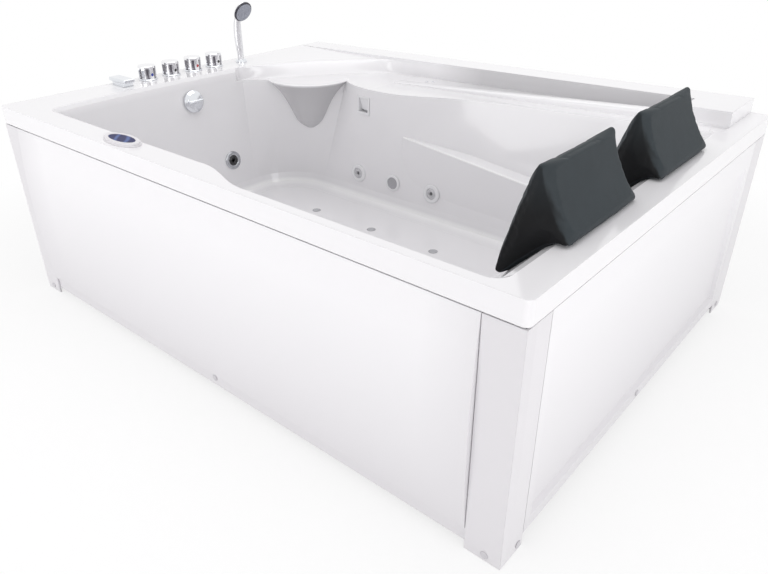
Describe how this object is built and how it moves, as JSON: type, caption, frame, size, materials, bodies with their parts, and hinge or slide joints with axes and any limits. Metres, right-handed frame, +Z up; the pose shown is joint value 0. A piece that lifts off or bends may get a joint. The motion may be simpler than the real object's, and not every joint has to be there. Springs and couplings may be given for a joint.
{
  "type": "jetted bathtub",
  "caption": "Large rectangular jetted bathtub with a deep contoured basin, corner spout, deck taps, hand shower, head pillows, wall jets and removable aprons on a levelled steel frame.",
  "frame": {"origin": "on the floor, under the middle of the bath's plan", "axes": "+X along the bath towards the head end with the pillows, +Y from the front apron towards the back, +Z up"},
  "size_m": [1.801, 1.3624, 0.833],
  "materials": {
    "acrylic_white": "gloss",
    "panel_white": "gloss",
    "chrome": "polished",
    "nozzle_grey": "gloss",
    "jet_ring": "gloss",
    "lens_grey": "gloss",
    "shower_grey": "gloss",
    "pillow_grey": "satin",
    "display_blue": "gloss",
    "pipe_white": "satin",
    "fitting_grey": "satin",
    "zinc_steel": "galvanised",
    "motor_paint": "satin",
    "board": "raw",
    "foot_plastic": "satin",
    "valve_brass": "satin",
    "case_grey": "satin"
  },
  "bodies": {
    "bath": {"tub_shell": "acrylic_white", "jet_bezels": "jet_ring", "jet_bodies": "fitting_grey", "lamp_housing": "jet_ring", "lamp_lens": "lens_grey", "suction_cover": "jet_ring", "suction_body": "fitting_grey", "wall_inlet": "jet_ring", "air_injectors": "jet_ring", "stream_nozzles": "chrome", "waste_body": "chrome", "waste_trap": "pipe_white", "overflow_body": "chrome", "overflow_pipe": "pipe_white", "deck_valves": "valve_brass", "mixer_links": "valve_brass", "deck_filler": "chrome", "shower_socket": "chrome", "panel_bezel": "panel_white", "panel_display": "display_blue", "pillow_studs": "zinc_steel", "corner_post": "panel_white", "front_left_post": "panel_white", "rear_post": "panel_white", "front_plinth": "panel_white", "front_apron": "panel_white", "side_apron": "panel_white", "screw_caps": "panel_white", "steel_frame": "zinc_steel", "levelling_feet": "foot_plastic", "base_board": "board", "apron_brackets": "zinc_steel", "equipment_trays": "zinc_steel", "pump_volute": "case_grey", "pump_motor": "motor_paint", "blower_housing": "case_grey", "control_box": "case_grey", "control_box_lid": "case_grey", "cable_gland": "foot_plastic", "water_manifold": "pipe_white", "jet_air_pipe": "pipe_white", "suction_pipe": "pipe_white", "floor_air_pipe": "pipe_white"},
    "jet_nozzle_1": {"jet_nozzle_1": "nozzle_grey"},
    "jet_nozzle_2": {"jet_nozzle_2": "nozzle_grey"},
    "jet_nozzle_3": {"jet_nozzle_3": "nozzle_grey"},
    "jet_nozzle_4": {"jet_nozzle_4": "nozzle_grey"},
    "jet_nozzle_5": {"jet_nozzle_5": "nozzle_grey"},
    "jet_nozzle_6": {"jet_nozzle_6": "nozzle_grey"},
    "cold_tap_knob": {"cold_tap_knob": "chrome"},
    "diverter_knob": {"diverter_knob": "chrome"},
    "hot_tap_knob": {"hot_tap_knob": "chrome"},
    "air_control_knob": {"air_control_knob": "chrome"},
    "overflow_knob": {"overflow_knob": "chrome"},
    "drain_plug": {"drain_plug": "chrome"},
    "hand_shower": {"hand_shower": "shower_grey"},
    "pillow_near": {"pillow_near": "pillow_grey"},
    "pillow_far": {"pillow_far": "pillow_grey"},
    "pump_impeller": {"pump_impeller": "case_grey"},
    "blower_fan": {"blower_fan": "case_grey"}
  },
  "joints": [
    {"name": "jet_nozzle_1_turn", "type": "hinge", "parent": "bath", "child": "jet_nozzle_1", "pos_m": [-0.13, -0.52657, 0.266], "axis": [0, 0.9792, 0.2029], "range_deg": [-45, 45]},
    {"name": "jet_nozzle_2_turn", "type": "hinge", "parent": "bath", "child": "jet_nozzle_2", "pos_m": [-0.334, -0.52657, 0.266], "axis": [0, 0.9792, 0.2029], "range_deg": [-45, 45]},
    {"name": "jet_nozzle_3_turn", "type": "hinge", "parent": "bath", "child": "jet_nozzle_3", "pos_m": [-0.71274, -0.246, 0.30501], "axis": [0.9886, 0.0203, 0.1493], "range_deg": [-45, 45]},
    {"name": "jet_nozzle_4_turn", "type": "hinge", "parent": "bath", "child": "jet_nozzle_4", "pos_m": [-0.7134, 0.015, 0.30501], "axis": [0.989, -0.0153, 0.1471], "range_deg": [-45, 45]},
    {"name": "jet_nozzle_5_turn", "type": "hinge", "parent": "bath", "child": "jet_nozzle_5", "pos_m": [-0.334, 0.29239, 0.266], "axis": [-0.0126, -0.9987, 0.0489], "range_deg": [-45, 45]},
    {"name": "jet_nozzle_6_turn", "type": "hinge", "parent": "bath", "child": "jet_nozzle_6", "pos_m": [-0.00194, 0.29687, 0.2663], "axis": [0.0182, -0.9953, 0.0954], "range_deg": [-45, 45]},
    {"name": "cold_tap_turn", "type": "hinge", "parent": "bath", "child": "cold_tap_knob", "pos_m": [-0.853, -0.194, 0.645], "axis": [0, 0, 1], "range_deg": [0, 90]},
    {"name": "diverter_turn", "type": "hinge", "parent": "bath", "child": "diverter_knob", "pos_m": [-0.853, -0.101, 0.645], "axis": [0, 0, 1], "range_deg": [0, 120]},
    {"name": "hot_tap_turn", "type": "hinge", "parent": "bath", "child": "hot_tap_knob", "pos_m": [-0.853, -0.008, 0.645], "axis": [0, 0, 1], "range_deg": [-90, 0]},
    {"name": "air_control_turn", "type": "hinge", "parent": "bath", "child": "air_control_knob", "pos_m": [-0.853, 0.085, 0.645], "axis": [0, 0, 1], "range_deg": [0, 180]},
    {"name": "overflow_knob_turn", "type": "hinge", "parent": "bath", "child": "overflow_knob", "pos_m": [-0.75134, -0.1, 0.54001], "axis": [0.988, -0.0137, 0.1536], "range_deg": [0, 75]},
    {"name": "drain_plug_lift", "type": "slide", "parent": "bath", "child": "drain_plug", "axis": [0, 0, 1], "range_m": [0, 0.009]},
    {"name": "hand_shower_lift", "type": "slide", "parent": "bath", "child": "hand_shower", "axis": [0, 0, 1], "range_m": [0, 0.12]},
    {"name": "pillow_near_lift", "type": "slide", "parent": "bath", "child": "pillow_near", "axis": [0, 0, 1], "range_m": [0, 0.08]},
    {"name": "pillow_far_lift", "type": "slide", "parent": "bath", "child": "pillow_far", "axis": [0, 0, 1], "range_m": [0, 0.08]},
    {"name": "pump_impeller_spin", "type": "hinge", "parent": "bath", "child": "pump_impeller", "pos_m": [0.12, 0.525, 0.2416], "axis": [1, 0, 0], "continuous": true},
    {"name": "blower_fan_spin", "type": "hinge", "parent": "bath", "child": "blower_fan", "pos_m": [-0.39, 0.525, 0.23], "axis": [0, 0, 1], "continuous": true}
  ],
  "couplings": [
    {"joint": "drain_plug_lift", "follows": "overflow_knob_turn", "m_per_rad": 0.006875}
  ]
}
